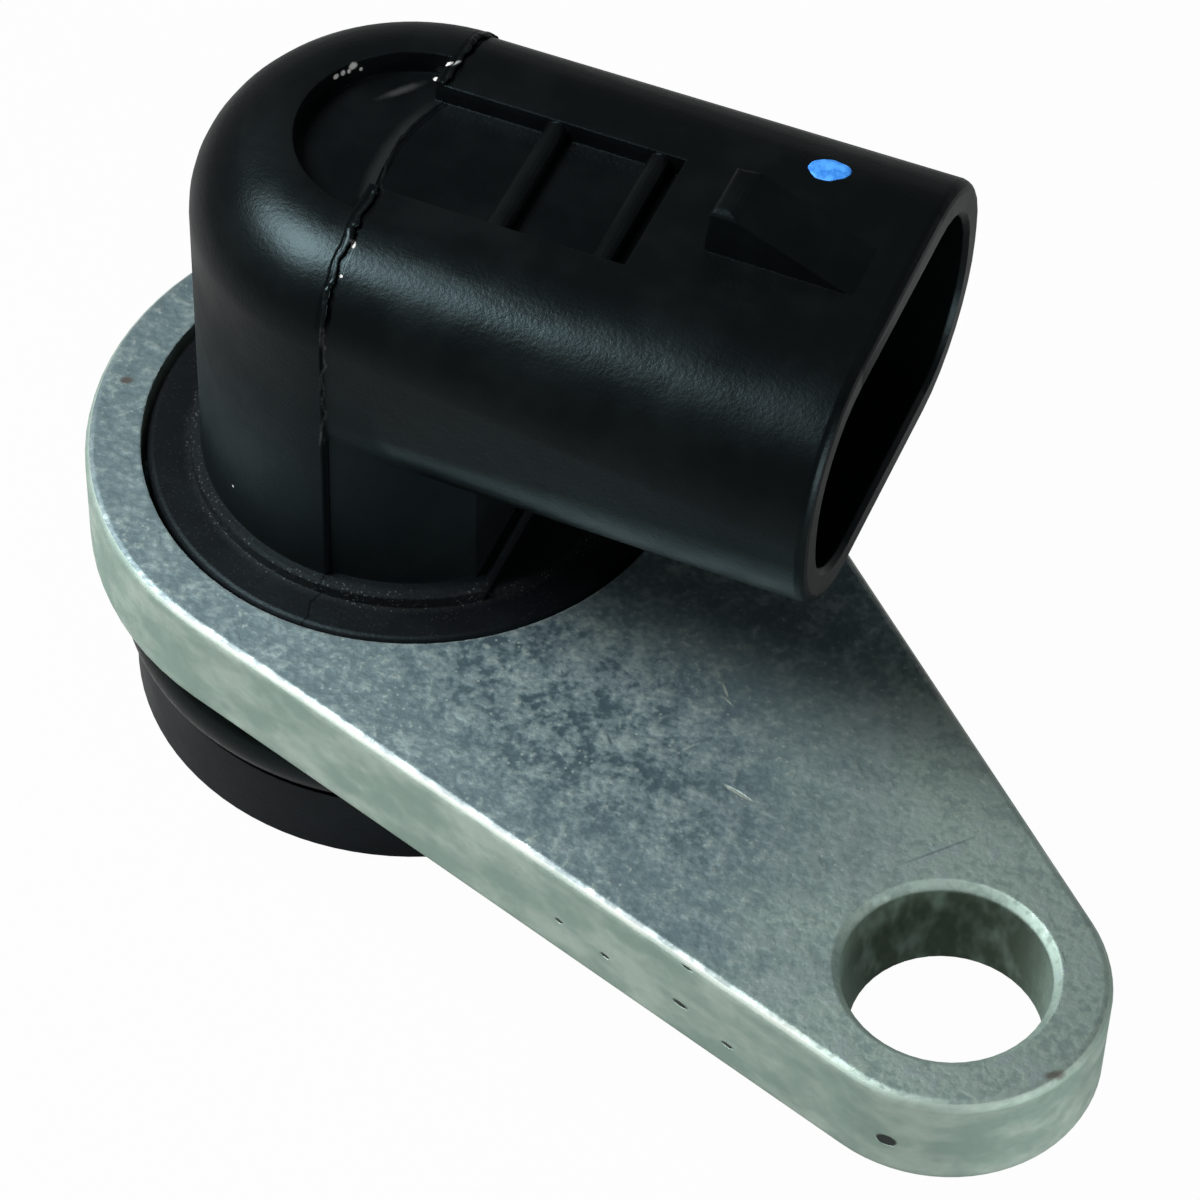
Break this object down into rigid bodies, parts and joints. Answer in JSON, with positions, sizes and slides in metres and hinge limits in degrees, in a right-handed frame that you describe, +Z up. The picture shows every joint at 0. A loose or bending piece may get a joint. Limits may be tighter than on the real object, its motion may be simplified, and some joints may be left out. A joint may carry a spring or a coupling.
{
  "type": "camshaft position sensor",
  "caption": "Round-nosed hall sensor with a sealing ring, a teardrop cast mounting plate and a right-angle oval plug socket with a lock ramp.",
  "frame": {"origin": "centre of the sensing face, on the sensor's axis", "axes": "+Z up the sensor's axis, away from the engine; +X out of the plug socket's mouth"},
  "size_m": [0.0548, 0.0408, 0.0358],
  "materials": {
    "cast_aluminium": "tumbled casting",
    "black_plastic": "matte",
    "black_rubber": "lightly oiled",
    "carrier_plastic": "matte",
    "tinned_brass": "tin plated",
    "chip_resin": "matte",
    "steel": "plain",
    "magnet_metal": "plated",
    "capacitor_body": "fired ceramic"
  },
  "bodies": {
    "root": {"mounting_bracket": "cast_aluminium", "sensor_housing": "black_plastic", "sealing_ring": "black_rubber", "nose_cover": "carrier_plastic", "terminal_supply": "tinned_brass", "terminal_ground": "tinned_brass", "terminal_signal": "tinned_brass", "sensing_chip": "chip_resin", "chip_lead_supply": "tinned_brass", "chip_lead_ground": "tinned_brass", "chip_lead_signal": "tinned_brass", "field_plate": "steel", "bias_magnet": "magnet_metal", "chip_holder": "carrier_plastic", "supply_capacitor": "capacitor_body", "signal_capacitor": "capacitor_body"}
  },
  "joints": []
}
